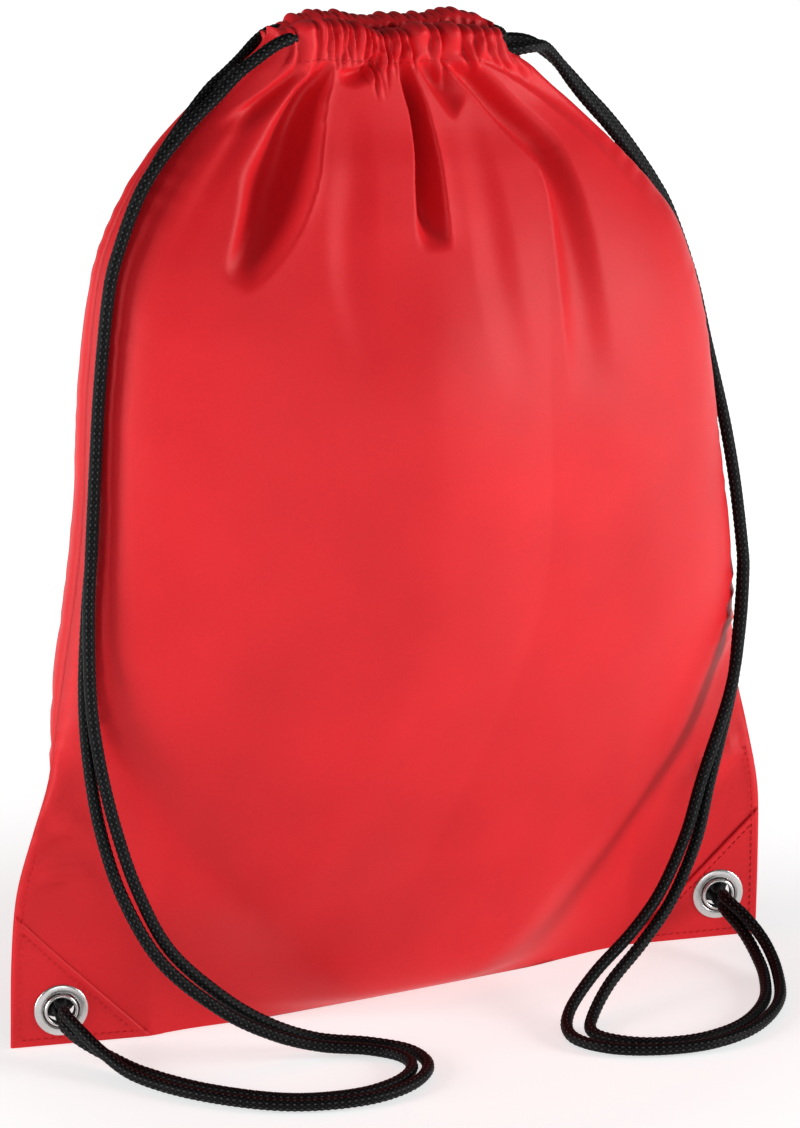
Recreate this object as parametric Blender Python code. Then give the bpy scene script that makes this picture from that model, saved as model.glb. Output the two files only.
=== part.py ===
"""A filled drawstring backpack standing on its bottom seam, in metres.

+Z is up, the front faces -Y and the origin is the middle of the bottom seam, on the floor.
Two fabric panels are sewn at the sides and the bottom. Each carries a cord channel at the
neck. Reinforced bottom corners hold two-part eyelets, where each doubled cord is knotted.
"""
import math

import bmesh
import bpy
from mathutils import Matrix, Vector

# Overall sizes
HALF_WIDTH = 0.170        # flat bag, centre to side edge
PANEL_HEIGHT = 0.396      # floor to the stitch line under the channels
FRONT_DEPTH = 0.064       # seam plane to the fullest point of the front panel
BACK_DEPTH = 0.072        # the same for the back panel, which carries more of the fill

# Fabric
WALL = 0.0006             # panel cloth
PATCH_WALL = 0.0005       # corner patch cloth
SEAM_WALL = 0.0006        # turned-in seam allowance, both layers
SEAM_REACH = 0.007        # how far the allowance reaches into the bag
SEAM_SPREAD = 0.0037      # half width of the opened allowance under the bag
GAP = 0.0003              # clearance between pieces that touch

# Bottom corners
CREASE = 0.112            # where a corner starts, from the middle
PATCH_LEG = 0.058         # patch along the side and along the bottom
PATCH_INSET = 0.001       # patch edge in from the panel edge
FLAT_REACH = 0.078        # how far from the corner the bag stays flat
SWELL_REACH = 0.080       # distance over which it then fills out
TURN_FADE = (0.062, 0.140)  # heights between which a corner's turn dies out

# Channels at the neck
CHANNEL_HALF = 0.042      # middle to one end
CHANNEL_TALL = 0.023
CHANNEL_DEEP = 0.008
CHANNEL_CLOTH = 0.0008
CHANNEL_BOW = (0.0130, 0.0025)   # distance from the seam plane, and how much less at the ends
NECK_TILT = -0.09         # the gathered neck drops towards +X

# Eyelets
BARREL_BORE = 0.00565
BARREL_WALL = 0.0004
FLANGE_RADIUS = 0.0112
METAL = 0.0006
CURL_RISE = 0.0009
CURL_RADIUS = 0.0070

# Cord
CORD = 0.0052
CORD_CLEARANCE = 0.0003
KNOT_RADIUS = 0.0085
TAIL_REACH = 0.016

# Outlines as (share of height, share of half width) and so on, from the floor to the neck
WIDTHS = ((0, 1.0), (0.10, 0.997), (0.17, 0.987), (0.24, 0.956), (0.30, 0.928), (0.36, 0.914),
          (0.45, 0.884), (0.53, 0.855), (0.60, 0.834), (0.66, 0.822), (0.73, 0.802),
          (0.82, 0.755), (0.87, 0.696), (0.92, 0.607), (0.965, 0.502), (1.0, 0.405))
FRONT_DEPTHS = ((0, 0.01), (0.03, 0.34), (0.10, 0.52), (0.25, 0.74), (0.38, 0.87),
                (0.50, 0.95), (0.62, 1.0), (0.70, 0.98), (0.77, 0.92), (0.82, 0.83),
                (0.87, 0.71), (0.92, 0.56), (0.96, 0.41), (1.0, 0.30))
BACK_DEPTHS = ((0, 0.44), (0.03, 0.58), (0.10, 0.68), (0.25, 0.82), (0.38, 0.91),
               (0.50, 0.96), (0.62, 1.0), (0.70, 0.98), (0.77, 0.92), (0.82, 0.83),
               (0.87, 0.71), (0.92, 0.56), (0.96, 0.41), (1.0, 0.28))
FRONT_POWERS = ((0, 1.6), (0.12, 1.5), (0.26, 0.95), (0.38, 0.60), (0.46, 0.5), (1.0, 0.5))
BACK_POWERS = ((0, 1.6), (0.12, 1.3), (0.24, 0.75), (0.34, 0.50), (0.46, 0.44), (0.7, 0.46),
               (1.0, 0.5))
LEANS = ((0, 0.0), (0.12, 0.001), (0.30, 0.004), (0.52, 0.006), (0.72, 0.003), (0.82, 0.0),
         (0.92, -0.003), (1.0, -0.004))

FACES = {-1: (FRONT_DEPTH, FRONT_DEPTHS, FRONT_POWERS), 1: (BACK_DEPTH, BACK_DEPTHS, BACK_POWERS)}

# Where the grid lines of a panel run, as shares
COLUMNS = (0.11, 0.22, 0.33, 0.44, 0.55, 0.659, 0.715, 0.772, 0.829, 0.886, 0.943, 1.0)
ROWS = (0.022, 0.048, 0.075, 0.10, 0.125, 0.15, 0.175, 0.21, 0.26, 0.33, 0.41, 0.50, 0.59,
        0.67, 0.74, 0.80, 0.85, 0.895, 0.935, 0.97, 1.0)

# The bottom corners: which side, how far each is turned towards the back, and its eyelet's
# centre as (distance from the side edge, height)
SIDES = {
    "left": {"side": -1, "turn": math.radians(13), "eyelet": (0.0210, 0.0155)},
    "right": {"side": 1, "turn": math.radians(-12), "eyelet": (0.0175, 0.0200)},
}

RED = ("red_polyester", (0.72, 0.035, 0.045, 1), 0.42, 0.0)
SEAM_RED = ("red_seam", (0.60, 0.025, 0.035, 1), 0.5, 0.0)
BLACK = ("black_cord", (0.012, 0.012, 0.013, 1), 0.6, 0.0)
NICKEL = ("nickel", (0.72, 0.71, 0.69, 1), 0.25, 1.0)


def clear_scene():
    for old in list(bpy.data.objects):
        bpy.data.objects.remove(old, do_unlink=True)


def material(finish):
    name, colour, roughness, metallic = finish
    made = bpy.data.materials.get(name)
    if made is None:
        made = bpy.data.materials.new(name)
        made.use_nodes = True
        shader = made.node_tree.nodes["Principled BSDF"]
        shader.inputs["Base Color"].default_value = colour
        shader.inputs["Roughness"].default_value = roughness
        shader.inputs["Metallic"].default_value = metallic
    return made


def new_object(name, mesh, finish):
    piece = bpy.data.objects.new(name, mesh)
    bpy.context.scene.collection.objects.link(piece)
    if finish is not None:
        mesh.materials.append(material(finish))
    return piece


def mesh_from(bm, name, outward=True):
    if outward:
        bmesh.ops.recalc_face_normals(bm, faces=bm.faces)
        if bm.calc_volume(signed=True) < 0:
            bmesh.ops.reverse_faces(bm, faces=bm.faces)
    mesh = bpy.data.meshes.new(name)
    bm.to_mesh(mesh)
    bm.free()
    return mesh


def smooth(share):
    share = min(1.0, max(0.0, share))
    return share * share * (3 - 2 * share)


def along(table, share):
    """A smooth reading between the rows of an outline table."""
    share = min(table[-1][0], max(table[0][0], share))
    k = max(i for i in range(len(table) - 1) if table[i][0] <= share)
    slopes = []
    for i in (k, k + 1):
        low, high = table[max(i - 1, 0)], table[min(i + 1, len(table) - 1)]
        slopes.append((high[1] - low[1]) / (high[0] - low[0]))
    (s0, v0), (s1, v1) = table[k], table[k + 1]
    step = s1 - s0
    u = (share - s0) / step
    return ((2 * u**3 - 3 * u**2 + 1) * v0 + (u**3 - 2 * u**2 + u) * step * slopes[0]
            + (3 * u**2 - 2 * u**3) * v1 + (u**3 - u**2) * step * slopes[1])


def corner_turn(x, height):
    """The angle at which the bottom corner near x is turned, fading out with height."""
    turn = SIDES["left" if x < 0 else "right"]["turn"]
    return turn * (1 - smooth((height - TURN_FADE[0]) / (TURN_FADE[1] - TURN_FADE[0])))


def turned(x, y, height):
    """Carry a point of the flat-cornered bag to where the turned corner takes it."""
    past = abs(x) - CREASE
    if past > 0:
        angle = corner_turn(x, height)
        x = math.copysign(CREASE + past * math.cos(angle), x)
        y += past * math.sin(angle)
    return x, y


def neck_drop(x, height):
    return NECK_TILT * x * smooth((height / PANEL_HEIGHT - 0.74) / 0.26)


def half_width(height):
    return HALF_WIDTH * along(WIDTHS, height / PANEL_HEIGHT)


def seam_half(bottom_share):
    """Half the distance between the two panels at the seam, wider where it lies flat."""
    corner = SEAM_WALL / 2 + GAP + WALL
    return corner + (SEAM_SPREAD + GAP - corner) * bottom_share


def bottom_share(across):
    """How far the bottom is opened flat: 1 in the middle, 0 in the corners."""
    corner_distance = HALF_WIDTH * (1 - abs(across))
    return smooth((corner_distance - FLAT_REACH * 0.82) / (SWELL_REACH * 0.6))


def depth(across, height, facing):
    share = height / PANEL_HEIGHT
    full, depths, powers = FACES[facing]
    corner_distance = HALF_WIDTH * (1 - abs(across)) + height
    swell = smooth((corner_distance - FLAT_REACH) / SWELL_REACH)
    section = max(0.0, 1 - across * across) ** along(powers, share)
    return full * along(depths, share) * section * swell


def panel_point(across, row, facing):
    """A point of a panel's outer face. Rows -2 to 0 run under the bag, the rest up its wall."""
    opened = bottom_share(across)
    out = seam_half(opened)
    if row <= 0:
        under = (row + 2) / 2
        height = (1 - opened) * under * 0.5 * ROWS[0] * PANEL_HEIGHT
        reach = under * max(0.0, depth(across, 0, facing))
    else:
        height = ROWS[row - 1] * PANEL_HEIGHT
        reach = depth(across, height, facing)
        out = seam_half(opened * (1 - smooth(height / 0.04)))
    x = across * half_width(height) + along(LEANS, height / PANEL_HEIGHT)
    y = facing * (out + reach)
    x, y = turned(x, y, height)
    return Vector((x, y, height + neck_drop(x, height)))


def make_panel(name, facing):
    shares = [-c for c in reversed(COLUMNS)] + [0.0] + list(COLUMNS)
    first_row, last_row = -2, len(ROWS)
    bm = bmesh.new()
    grid = bmesh.ops.create_grid(bm, x_segments=len(shares) - 1,
                                 y_segments=last_row - first_row, size=1.0)
    for vert in grid["verts"]:
        column = round((vert.co.x + 1) / 2 * (len(shares) - 1))
        row = first_row + round((vert.co.y + 1) / 2 * (last_row - first_row))
        vert.co = panel_point(shares[column], row, facing)
    if facing > 0:
        bmesh.ops.reverse_faces(bm, faces=bm.faces)
    panel = new_object(name, mesh_from(bm, name, outward=False), RED)
    wall = panel.modifiers.new("cloth", "SOLIDIFY")
    wall.thickness = WALL
    wall.offset = -1
    wall.use_even_offset = True
    return panel


def make_bar(name, steps, corner, finish):
    """A bar of rectangular section. corner(step, a, b) places corner a, b (each 0 or 1)."""
    bm = bmesh.new()
    bmesh.ops.create_cube(bm, size=1.0)
    long_edges = [e for e in bm.edges if abs(e.verts[0].co.x - e.verts[1].co.x) > 0.5]
    bmesh.ops.subdivide_edges(bm, edges=long_edges, cuts=steps - 1, use_grid_fill=True)
    for vert in bm.verts:
        step = round((vert.co.x + 0.5) * steps)
        vert.co = corner(step, vert.co.y > 0, vert.co.z > 0)
    return new_object(name, mesh_from(bm, name), finish)


def make_side_seam(name, side):
    heights = [GAP] + [share * PANEL_HEIGHT for share in ROWS]
    heights[-1] -= GAP

    def corner(step, back, outer):
        height = heights[step]
        reach = 0.0 if outer else SEAM_REACH
        x = side * (half_width(height) - reach) + along(LEANS, height / PANEL_HEIGHT)
        x, y = turned(x, (SEAM_WALL if back else -SEAM_WALL) / 2, height)
        return Vector((x, y, height + neck_drop(x, height)))

    return make_bar(name, len(heights) - 1, corner, SEAM_RED)


def make_bottom_seam():
    reach = 1 - (SEAM_REACH + GAP * 3) / HALF_WIDTH
    columns = [share for share in COLUMNS if share < reach] + [reach]
    shares = [-c for c in reversed(columns)] + [0.0] + columns

    def corner(step, back, high):
        across = shares[step]
        opened = bottom_share(across)
        spread = SEAM_WALL / 2 + (SEAM_SPREAD - WALL - SEAM_WALL / 2) * opened ** 1.5
        tall = SEAM_REACH + (SEAM_WALL - SEAM_REACH) * smooth(opened * 3)
        height = tall if high else 0.0
        x, y = turned(across * HALF_WIDTH, spread if back else -spread, 0.0)
        return Vector((x, y, height))

    return make_bar("bottom_seam", len(shares) - 1, corner, SEAM_RED)


def channel_middle(x, facing):
    bow, less = CHANNEL_BOW
    return facing * (bow - less * (x / CHANNEL_HALF) ** 2)


def make_channel(name, facing):
    """A flattened sleeve along the neck, open at both ends for the cords."""
    steps = 12

    def sleeve(half_length, half_deep, low, high):
        def corner(step, back, top):
            x = half_length * (2 * step / steps - 1)
            y = channel_middle(x, facing) + (half_deep if back else -half_deep)
            return Vector((x, y, (high if top else low) + NECK_TILT * x))
        return corner

    low = PANEL_HEIGHT + GAP
    high = low + CHANNEL_TALL
    slot_half = CHANNEL_DEEP / 2 - CHANNEL_CLOTH
    slot_low = low + 0.0035
    slot_high = high - 0.0035
    body = make_bar(name, steps, sleeve(CHANNEL_HALF, CHANNEL_DEEP / 2, low, high), RED)
    slot = make_bar(name + "_slot", steps,
                    sleeve(CHANNEL_HALF * 1.1, slot_half, slot_low, slot_high), None)
    cut_with(body, slot)
    return body


def cut_with(body, cutter):
    cutter.hide_render = True
    cutter.display_type = "WIRE"
    cut = body.modifiers.new("cut", "BOOLEAN")
    cut.object = cutter
    cut.operation = "DIFFERENCE"
    cut.solver = "EXACT"


def corner_frame(corner):
    """A frame at a corner's crease on the floor: X out along the corner, Y up, Z to the front."""
    side, turn = corner["side"], corner["turn"]
    out = Vector((side * math.cos(turn), math.sin(turn), 0))
    front = Vector((side * math.sin(turn), -math.cos(turn), 0))
    up = Vector((0, 0, 1))
    frame = Matrix((out, up, front)).transposed().to_4x4()
    frame.translation = Vector((side * CREASE, 0, 0))
    return frame


def eyelet_frame(corner):
    inset, height = corner["eyelet"]
    along_corner = HALF_WIDTH - inset - CREASE
    return corner_frame(corner) @ Matrix.Translation((along_corner, height, 0))


def stack_half():
    """From the middle of a corner to the outside of its patch."""
    return SEAM_WALL / 2 + GAP + WALL + GAP + PATCH_WALL


def make_patch(name, corner, facing):
    """A triangle of cloth over the corner, its long edge running across the corner."""
    end = HALF_WIDTH - CREASE - PATCH_INSET
    low = PATCH_INSET
    start = end + PATCH_INSET - PATCH_LEG
    top = low + PATCH_LEG - PATCH_INSET
    bm = bmesh.new()
    corners = [bm.verts.new(p) for p in ((start, low, 0), (end, low, 0), (end - 0.002, top, 0))]
    bm.faces.new(corners)
    bmesh.ops.triangulate(bm, faces=bm.faces)
    near = stack_half() - PATCH_WALL
    lift = near if facing < 0 else -near - PATCH_WALL
    bmesh.ops.translate(bm, verts=bm.verts, vec=(0, 0, lift))
    grown = bmesh.ops.extrude_face_region(bm, geom=bm.faces[:])
    raised = [v for v in grown["geom"] if isinstance(v, bmesh.types.BMVert)]
    bmesh.ops.translate(bm, verts=raised, vec=(0, 0, PATCH_WALL))
    bmesh.ops.transform(bm, matrix=corner_frame(corner), verts=bm.verts)
    return new_object(name, mesh_from(bm, name), RED)


def turn_profile(name, profile, frame, finish, segments=24):
    """A ring turned from a closed profile of (radius, height) about the frame's Z axis."""
    bm = bmesh.new()
    loop = [bm.verts.new((radius, 0, height)) for radius, height in profile]
    edges = [bm.edges.new((loop[i - 1], loop[i])) for i in range(len(loop))]
    bmesh.ops.spin(bm, geom=loop + edges, cent=(0, 0, 0), axis=(0, 0, 1),
                   angle=math.tau, steps=segments, use_merge=True)
    ring = new_object(name, mesh_from(bm, name), finish)
    ring.matrix_world = frame
    return ring


def make_eyelet(side_name, corner):
    """The grommet's flange is behind the corner; its barrel is curled over the front washer."""
    frame = eyelet_frame(corner)
    barrel = BARREL_BORE + BARREL_WALL
    seat = stack_half() + GAP
    over = seat + METAL + GAP
    grommet = ((BARREL_BORE, -seat), (BARREL_BORE, over + CURL_RISE * 0.5),
               (barrel, over + CURL_RISE), (CURL_RADIUS - 0.0003, over + CURL_RISE),
               (CURL_RADIUS, over + CURL_RISE * 0.6), (CURL_RADIUS, over), (barrel, over),
               (barrel, -seat), (FLANGE_RADIUS, -seat), (FLANGE_RADIUS, -seat - METAL * 0.6),
               (FLANGE_RADIUS - 0.0006, -seat - METAL), (barrel, -seat - METAL))
    washer = ((barrel + GAP, seat), (FLANGE_RADIUS, seat), (FLANGE_RADIUS, seat + METAL * 0.5),
              (FLANGE_RADIUS - 0.0006, seat + METAL), (barrel + GAP, seat + METAL))
    turn_profile(side_name + "_eyelet_grommet", grommet, frame, NICKEL)
    turn_profile(side_name + "_eyelet_washer", washer, frame, NICKEL)


def make_hole_cutter(side_name, corner):
    """A round bar through the corner, where the eyelet's barrel passes with its clearance."""
    bm = bmesh.new()
    radius = BARREL_BORE + BARREL_WALL + GAP
    bmesh.ops.create_cone(bm, cap_ends=True, segments=24, radius1=radius, radius2=radius,
                          depth=0.03)
    cutter = new_object(side_name + "_hole_cutter", mesh_from(bm, "hole"), None)
    cutter.matrix_world = eyelet_frame(corner)
    return cutter


def smooth_route(points, spacing):
    """Points at about the given spacing on one smooth curve through a route's own points."""
    knots = [Vector(p) for p in points]
    dense = []
    for i in range(len(knots) - 1):
        p1, p2 = knots[i], knots[i + 1]
        p0 = knots[i - 1] if i else p1 * 2 - p2
        p3 = knots[i + 2] if i + 2 < len(knots) else p2 * 2 - p1
        for k in range(24):
            u = k / 24
            dense.append(0.5 * (2 * p1 + (p2 - p0) * u
                                + (2 * p0 - 5 * p1 + 4 * p2 - p3) * u**2
                                + (3 * p1 - 3 * p2 + p3 - p0) * u**3))
    dense.append(knots[-1])
    lengths = [0.0]
    for a, b in zip(dense, dense[1:]):
        lengths.append(lengths[-1] + (b - a).length)
    count = max(2, round(lengths[-1] / spacing))
    lead = 0.3 * CORD / lengths[-1]
    shares = sorted([i / count for i in range(count + 1)] + [lead, 1 - lead])
    route, k = [], 0
    for share in shares:
        goal = lengths[-1] * share
        while k < len(dense) - 2 and lengths[k + 1] < goal:
            k += 1
        part = (goal - lengths[k]) / (lengths[k + 1] - lengths[k])
        route.append(dense[k].lerp(dense[k + 1], min(1.0, part)))
    return route


def make_cord(name, points, spacing=2.5 * CORD):
    curve = bpy.data.curves.new(name, "CURVE")
    curve.dimensions = "3D"
    curve.bevel_depth = CORD / 2
    curve.bevel_resolution = 2
    curve.render_resolution_u = 0
    curve.use_fill_caps = True
    route = smooth_route(points, spacing)
    spline = curve.splines.new("POLY")
    spline.points.add(len(route) - 1)
    for point, place in zip(spline.points, route):
        point.co = (*place, 1)
    curve.materials.append(material(BLACK))
    piece = bpy.data.objects.new(name, curve)
    bpy.context.scene.collection.objects.link(piece)
    return piece


# Each strap is two strands side by side. A row is the middle of the pair and the half step
# from it to the front strand, in millimetres; the back strand lies the other way.
LEFT_STRAP = (
    ((-44.0, 0.0, 416.5), (0.0, -10.5, 0.0)),
    ((-50.0, 0.0, 416.9), (0.0, -11.2, 0.0)),
    ((-57.0, -0.8, 414.2), (0.0, -11.2, -0.4)),
    ((-65.0, -2.6, 409.6), (0.0, -9.4, -0.5)),
    ((-73.0, -5.2, 405.6), (0.1, -6.8, -0.7)),
    ((-82.0, -8.4, 398.6), (0.1, -3.4, -0.6)),
    ((-91.5, -10.4, 391.0), (-0.3, -2.8, -0.3)),
    ((-100.3, -11.0, 382.0), (-0.7, -2.7, 0.2)),
    ((-108.8, -12.0, 372.2), (-1.0, -2.6, 0.8)),
    ((-117.0, -12.5, 360.0), (-1.2, -2.6, 0.8)),
    ((-125.0, -13.0, 341.5), (-1.2, -2.6, 0.5)),
    ((-130.0, -13.5, 324.5), (-1.2, -2.6, 0.3)),
    ((-135.0, -14.5, 287.5), (-1.2, -2.6, 0.0)),
    ((-137.8, -14.5, 251.0), (-1.2, -2.6, 0.0)),
    ((-140.6, -15.5, 216.0), (-1.2, -2.6, 0.0)),
    ((-143.0, -17.0, 194.0), (-0.8, -2.8, 0.0)),
    ((-145.3, -20.5, 161.0), (0.2, -3.0, 0.3)),
    ((-144.6, -24.5, 134.0), (1.4, -2.5, 0.6)),
    ((-140.5, -28.0, 105.5), (2.6, -1.6, 1.0)),
    ((-133.5, -33.5, 78.0), (2.8, -0.8, 1.5)),
    ((-121.0, -39.5, 51.5), (2.2, 0.8, 2.0)),
    ((-99.0, -44.5, 29.0), (1.4, 2.2, 1.9)),
    ((-78.0, -46.5, 14.5), (0.8, 3.4, 1.0)),
    ((-57.5, -48.5, 5.6), (0.8, 3.3, 0.3)),
    ((-38.0, -56.5, 3.2), (2.2, 2.4, 0.0)),
    ((-27.5, -69.5, 3.0), (3.2, 1.2, 0.0)),
    ((-28.5, -84.0, 3.0), (3.1, -1.2, 0.0)),
    ((-42.0, -96.0, 3.0), (1.6, -2.7, 0.0)),
    ((-64.0, -100.0, 3.0), (0.2, -3.0, 0.0)),
    ((-92.0, -91.5, 3.0), (-1.4, -2.6, 0.0)),
    ((-117.5, -68.5, 3.0), (-2.3, -1.9, 0.0)),
    ((-134.0, -43.0, 3.6), (-2.6, -1.4, 0.3)),
    ((-142.0, -26.5, 7.2), (-2.2, -0.9, 1.8)),
    ((-148.4, -13.5, 12.2), (-0.7, 0.0, 2.8)),
    ((-150.9, -4.5, 15.2), (0.0, 0.0, 2.8)),
    ((-149.74, 1.0, 15.5), (0.0, 0.0, 2.75)),
)
RIGHT_STRAP = (
    ((44.0, 0.0, 403.0), (0.0, -10.5, 0.0)),
    ((50.0, 0.0, 402.5), (0.0, -10.8, 0.0)),
    ((57.5, 1.0, 402.6), (0.0, -9.4, 0.2)),
    ((66.5, 3.5, 400.6), (0.0, -6.2, 0.2)),
    ((76.0, 6.0, 393.2), (-0.5, -3.8, -0.3)),
    ((84.5, 7.0, 383.6), (-1.0, -2.9, -0.7)),
    ((92.0, 7.5, 375.0), (-1.2, -2.7, -0.8)),
    ((102.5, 8.0, 363.6), (-1.3, -2.6, -0.9)),
    ((114.2, 9.5, 349.5), (-1.3, -2.6, -0.8)),
    ((125.5, 11.0, 334.2), (-1.3, -2.6, -0.6)),
    ((134.0, 11.5, 319.5), (-1.3, -2.6, -0.4)),
    ((143.4, 8.5, 291.2), (-1.3, -2.6, -0.2)),
    ((148.0, 3.0, 264.0), (-1.2, -2.6, 0.0)),
    ((151.6, -2.5, 241.0), (-1.2, -2.6, 0.0)),
    ((153.2, -7.0, 225.0), (-1.2, -2.6, 0.0)),
    ((154.6, -11.5, 206.0), (-1.2, -2.6, 0.0)),
    ((157.2, -13.5, 181.0), (-1.2, -2.6, 0.0)),
    ((157.4, -15.0, 168.0), (-1.2, -2.6, 0.0)),
    ((153.8, -19.0, 144.0), (-1.2, -2.6, 0.0)),
    ((147.0, -24.5, 118.5), (-1.7, -2.3, 0.3)),
    ((131.5, -32.0, 83.0), (-2.5, -0.9, 1.2)),
    ((121.5, -38.0, 61.0), (-2.6, 0.2, 1.5)),
    ((106.5, -44.5, 40.0), (-2.2, 0.9, 1.9)),
    ((89.0, -52.0, 27.0), (-1.7, 1.8, 1.9)),
    ((67.5, -60.5, 15.0), (-2.4, 2.8, 1.4)),
    ((52.5, -70.5, 5.6), (-4.2, 2.6, 0.6)),
    ((46.5, -83.0, 3.0), (-4.8, 0.0, 0.0)),
    ((52.0, -97.0, 3.0), (-3.2, -2.6, 0.0)),
    ((67.0, -107.5, 3.0), (-1.0, -3.0, 0.0)),
    ((89.0, -112.0, 3.0), (0.3, -3.0, 0.0)),
    ((112.0, -106.0, 3.0), (1.4, -2.7, 0.0)),
    ((133.0, -88.5, 3.0), (2.4, -1.9, 0.0)),
    ((146.0, -66.0, 4.0), (2.8, -0.9, 0.2)),
    ((151.5, -47.0, 8.5), (2.5, -0.2, 1.6)),
    ((151.0, -33.5, 14.8), (0.9, 0.0, 2.8)),
    ((148.7, -22.5, 19.5), (0.0, 0.0, 2.8)),
    ((150.05, -15.75, 20.0), (0.0, 0.0, 2.75)),
)


def neck_loop_points(side, level):
    """A cord's held middle: in through the front channel, round the far end and back."""
    start = -side
    near = 0.0437
    front_y = channel_middle(CHANNEL_HALF, -1)
    round_end = CHANNEL_HALF + 0.0005
    places = [(start * -near, front_y), (start * -CHANNEL_HALF, front_y)]
    for share in (-0.5, 0.0, 0.5):
        places.append((start * share * CHANNEL_HALF,
                       channel_middle(share * CHANNEL_HALF, -1)))
    places.append((start * CHANNEL_HALF, front_y))
    for k in range(1, 6):
        angle = math.pi * k / 6
        places.append((start * (round_end - front_y * math.sin(angle)),
                       front_y * math.cos(angle)))
    places.append((start * CHANNEL_HALF, -front_y))
    for share in (0.5, 0.0, -0.5):
        places.append((start * share * CHANNEL_HALF,
                       channel_middle(share * CHANNEL_HALF, 1)))
    places += [(start * -CHANNEL_HALF, -front_y), (start * -near, -front_y)]
    return [Vector((x, y, level + NECK_TILT * x)) for x, y in places]


def strap_strands(strap):
    front = [Vector(place) + Vector(step) for place, step in strap]
    back = [Vector(place) - Vector(step) for place, step in strap]
    return [[point / 1000 for point in strand] for strand in (front, back)]


def make_knot(name, corner):
    """A knotted lump behind the eyelet, with the two strands running out through the bore."""
    frame = eyelet_frame(corner)
    offset = (CORD + CORD_CLEARANCE) / 2
    behind = -(stack_half() + GAP + METAL + GAP)
    front = -behind + 0.004
    bm = bmesh.new()
    bmesh.ops.create_uvsphere(bm, u_segments=16, v_segments=10, radius=KNOT_RADIUS)
    bmesh.ops.scale(bm, vec=(1.0, 1.15, 0.95), verts=bm.verts)
    bmesh.ops.translate(bm, vec=(0, 0, behind - KNOT_RADIUS * 0.95), verts=bm.verts)
    lump = new_object(name, mesh_from(bm, name), BLACK)
    lump.matrix_world = frame
    for k, up in enumerate((offset, -offset)):
        for kind, low, high in (("strand", behind - KNOT_RADIUS, front),
                                ("tail", behind - KNOT_RADIUS - TAIL_REACH,
                                 behind - KNOT_RADIUS)):
            bm = bmesh.new()
            bmesh.ops.create_cone(bm, cap_ends=True, segments=12, radius1=CORD / 2,
                                  radius2=CORD / 2, depth=high - low)
            bmesh.ops.translate(bm, vec=(0, up, (high + low) / 2), verts=bm.verts)
            rod = new_object(f"{name}_{kind}_{k}", mesh_from(bm, kind), None)
            rod.matrix_world = frame
            cut_with(lump, rod)
            lump.modifiers[-1].operation = "UNION"
    return lump


def build():
    clear_scene()
    panels = [make_panel("front_panel", -1), make_panel("back_panel", 1)]
    make_bottom_seam()
    make_channel("front_drawcord_channel", -1)
    make_channel("back_drawcord_channel", 1)
    for side_name, corner in SIDES.items():
        make_side_seam(side_name + "_side_seam", corner["side"])
        cutter = make_hole_cutter(side_name, corner)
        patches = [make_patch(f"{side_name}_{face}_corner_patch", corner, facing)
                   for face, facing in (("front", -1), ("back", 1))]
        for cloth in panels + patches:
            cut_with(cloth, cutter)
        make_eyelet(side_name, corner)
        make_knot(side_name + "_knot", corner)
    straps = {"left": (LEFT_STRAP, 0.4126), "right": (RIGHT_STRAP, 0.4069)}
    for side_name, (strap, level) in straps.items():
        front, back = strap_strands(strap)
        make_cord(side_name + "_cord_front_strand", front)
        make_cord(side_name + "_cord_back_strand", back)
        side = SIDES[side_name]["side"]
        make_cord(side_name + "_cord_neck_loop", neck_loop_points(side, level), 1.5 * CORD)


build()
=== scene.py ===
"""A red drawstring backpack, filled out and standing: a gathered polyester bag, doubled black
braided cords held in its neck hem, and nickel eyelets in its reinforced bottom corners."""
import math

import bmesh
import bpy
import numpy as np
from mathutils import Matrix, Vector, noise


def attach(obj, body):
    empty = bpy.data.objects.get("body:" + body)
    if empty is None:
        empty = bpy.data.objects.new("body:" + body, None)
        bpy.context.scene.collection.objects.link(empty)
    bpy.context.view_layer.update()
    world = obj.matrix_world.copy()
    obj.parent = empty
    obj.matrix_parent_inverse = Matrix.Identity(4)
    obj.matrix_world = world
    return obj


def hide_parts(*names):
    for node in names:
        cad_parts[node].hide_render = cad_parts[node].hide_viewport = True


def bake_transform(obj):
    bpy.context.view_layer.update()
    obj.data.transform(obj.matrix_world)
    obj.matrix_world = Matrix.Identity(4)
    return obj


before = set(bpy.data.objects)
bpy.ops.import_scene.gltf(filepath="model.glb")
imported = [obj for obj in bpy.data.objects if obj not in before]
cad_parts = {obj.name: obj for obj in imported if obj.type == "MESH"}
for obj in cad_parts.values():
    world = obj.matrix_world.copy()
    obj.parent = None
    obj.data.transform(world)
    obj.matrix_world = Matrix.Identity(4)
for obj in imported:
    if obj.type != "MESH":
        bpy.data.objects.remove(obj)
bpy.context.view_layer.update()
MM = 0.001

# The bag's shell, the same as the solids', in metres. Tables run up the bag by shares of
# PANEL_HEIGHT: WIDTHS gives shares of HALF_WIDTH, LEANS how far the middle lies towards +X.
HALF_WIDTH = 0.170
PANEL_HEIGHT = 0.396
HEM_STITCH = 0.4050       # height of the hem's stitch line, at the middle
HEM_TOP = 0.4165          # where the hem's outer cloth starts to turn in
CREASE = 0.112            # where each bottom corner turns, from the middle
FLAT_REACH = 0.078        # the cloths lie flat this far from a bottom corner
SWELL_REACH = 0.080       # and swell to their full depth over this much more
TURN_FADE = (0.062, 0.140)    # heights between which a corner's turn dies out
SEAM_HALF = 0.0006        # half the gap between the two cloths at the side seam
SEAM_SPREAD = 0.0040      # half the gap under the middle of the bag
NECK_TILT = -0.09         # slope of the neck along X
CLOTH = 0.0005            # thickness of the cloth
EYELET_OPENING = 0.0083   # cloth is cleared to here, under the eyelet's flanges
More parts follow.
